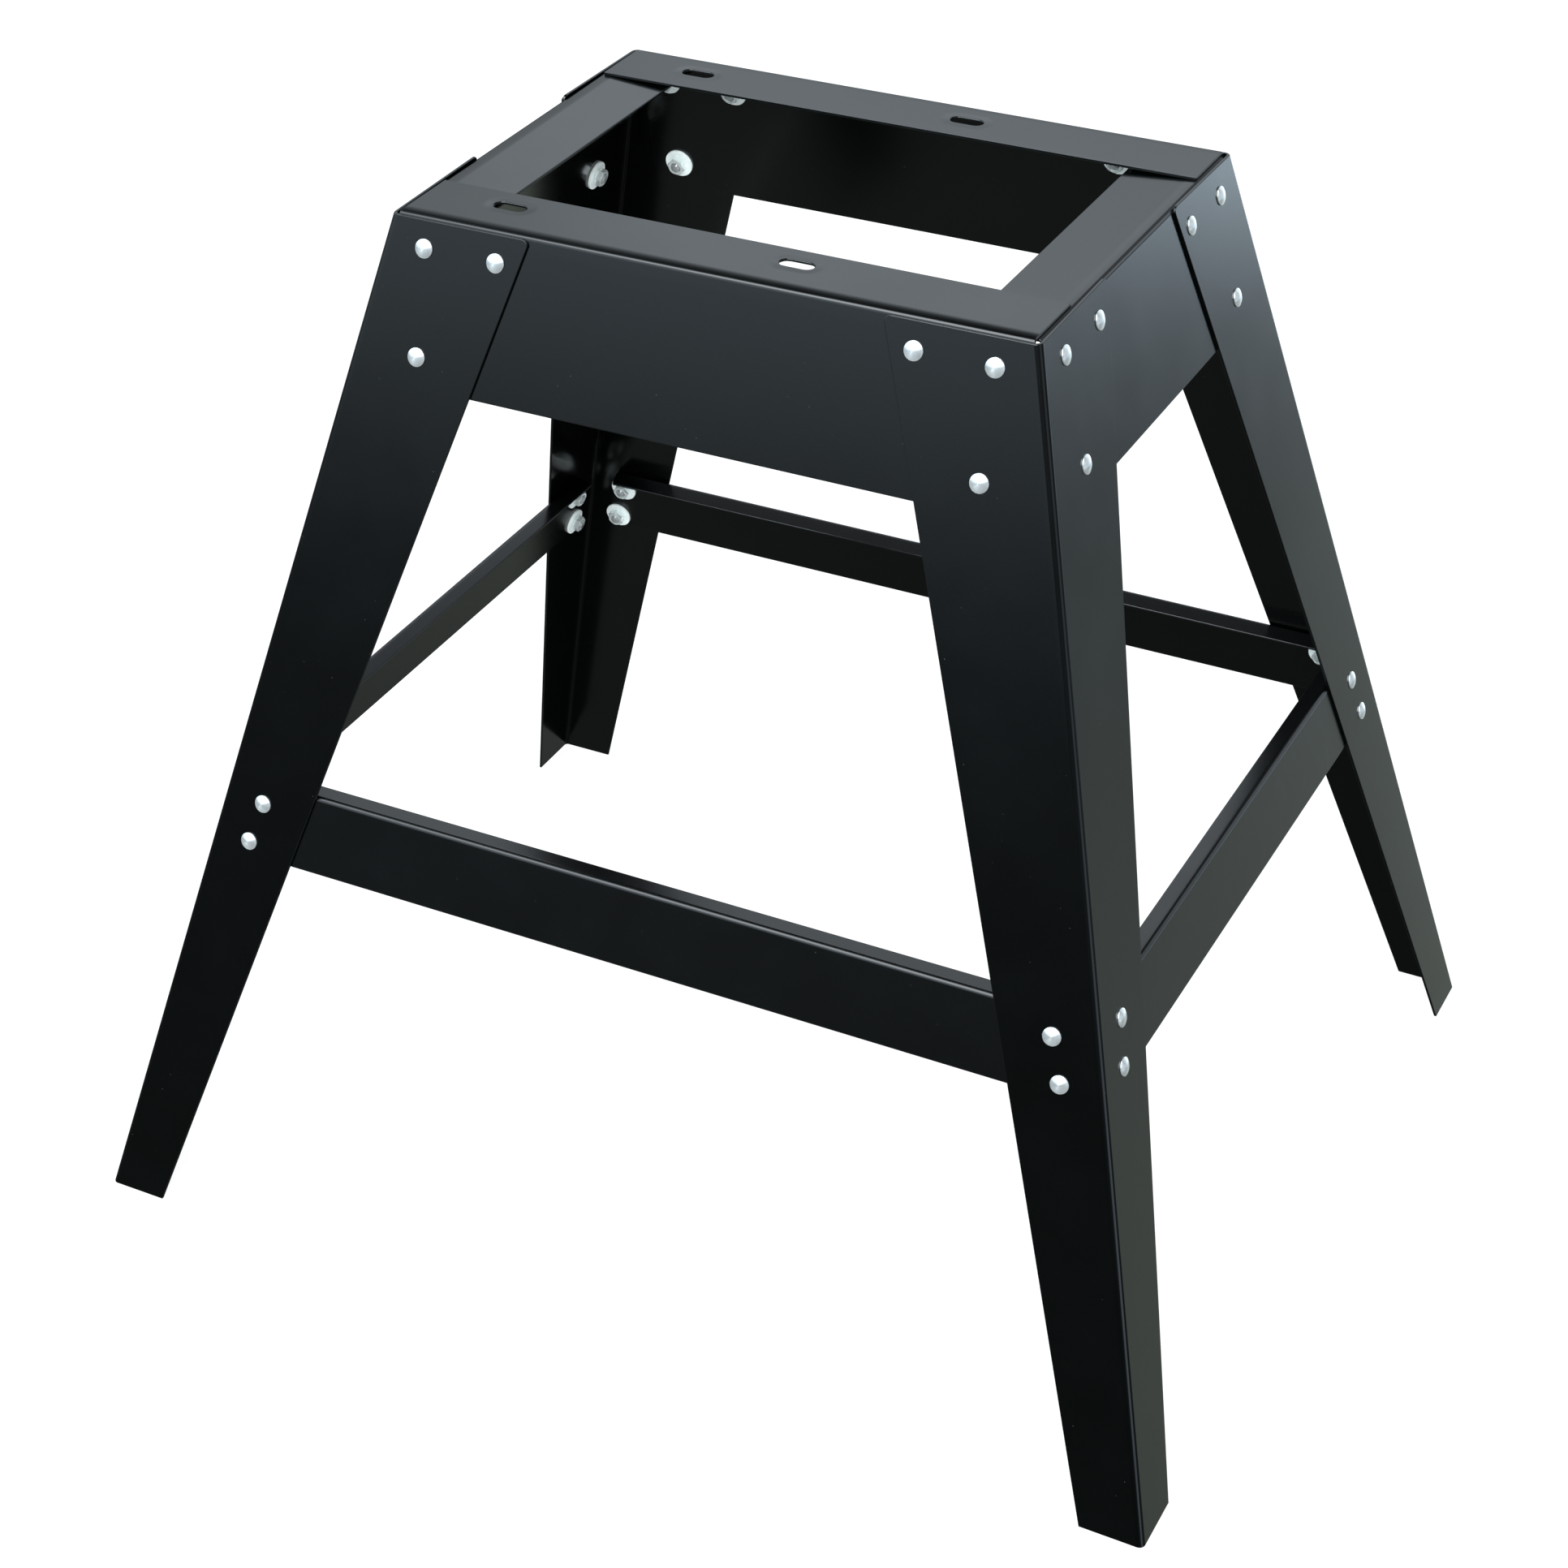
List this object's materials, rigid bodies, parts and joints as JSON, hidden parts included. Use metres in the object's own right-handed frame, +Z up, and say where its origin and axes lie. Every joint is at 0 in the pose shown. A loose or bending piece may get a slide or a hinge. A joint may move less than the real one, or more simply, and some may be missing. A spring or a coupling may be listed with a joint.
{
  "type": "machine stand",
  "caption": "Splayed four-leg machine stand of folded black sheet steel, with slotted top rails, lower braces and bolted corners.",
  "frame": {"origin": "on the floor, under the middle of the four feet", "axes": "+X along the long side, to the right seen from the front; +Y from front to rear; +Z up"},
  "size_m": [0.7136, 0.6018, 0.6453],
  "materials": {
    "powder_coat": "satin black powder coat",
    "zinc_bolt": "bright zinc plating, turned heads",
    "zinc_washer": "bright zinc plating, smooth",
    "zinc_nut": "bright zinc plating"
  },
  "bodies": {
    "root": {"leg_front_left": "powder_coat", "leg_front_right": "powder_coat", "leg_rear_left": "powder_coat", "leg_rear_right": "powder_coat", "top_rail_front": "powder_coat", "top_rail_rear": "powder_coat", "top_rail_left": "powder_coat", "top_rail_right": "powder_coat", "brace_front": "powder_coat", "brace_rear": "powder_coat", "brace_left": "powder_coat", "brace_right": "powder_coat", "rail_bolts_front_left": "zinc_bolt", "rail_washers_front_left": "zinc_washer", "rail_nuts_front_left": "zinc_nut", "brace_bolts_front_left": "zinc_bolt", "brace_washers_front_left": "zinc_washer", "brace_nuts_front_left": "zinc_nut", "rail_bolts_front_right": "zinc_bolt", "rail_washers_front_right": "zinc_washer", "rail_nuts_front_right": "zinc_nut", "brace_bolts_front_right": "zinc_bolt", "brace_washers_front_right": "zinc_washer", "brace_nuts_front_right": "zinc_nut", "rail_bolts_rear_left": "zinc_bolt", "rail_washers_rear_left": "zinc_washer", "rail_nuts_rear_left": "zinc_nut", "brace_bolts_rear_left": "zinc_bolt", "brace_washers_rear_left": "zinc_washer", "brace_nuts_rear_left": "zinc_nut", "rail_bolts_rear_right": "zinc_bolt", "rail_washers_rear_right": "zinc_washer", "rail_nuts_rear_right": "zinc_nut", "brace_bolts_rear_right": "zinc_bolt", "brace_washers_rear_right": "zinc_washer", "brace_nuts_rear_right": "zinc_nut"}
  },
  "joints": []
}
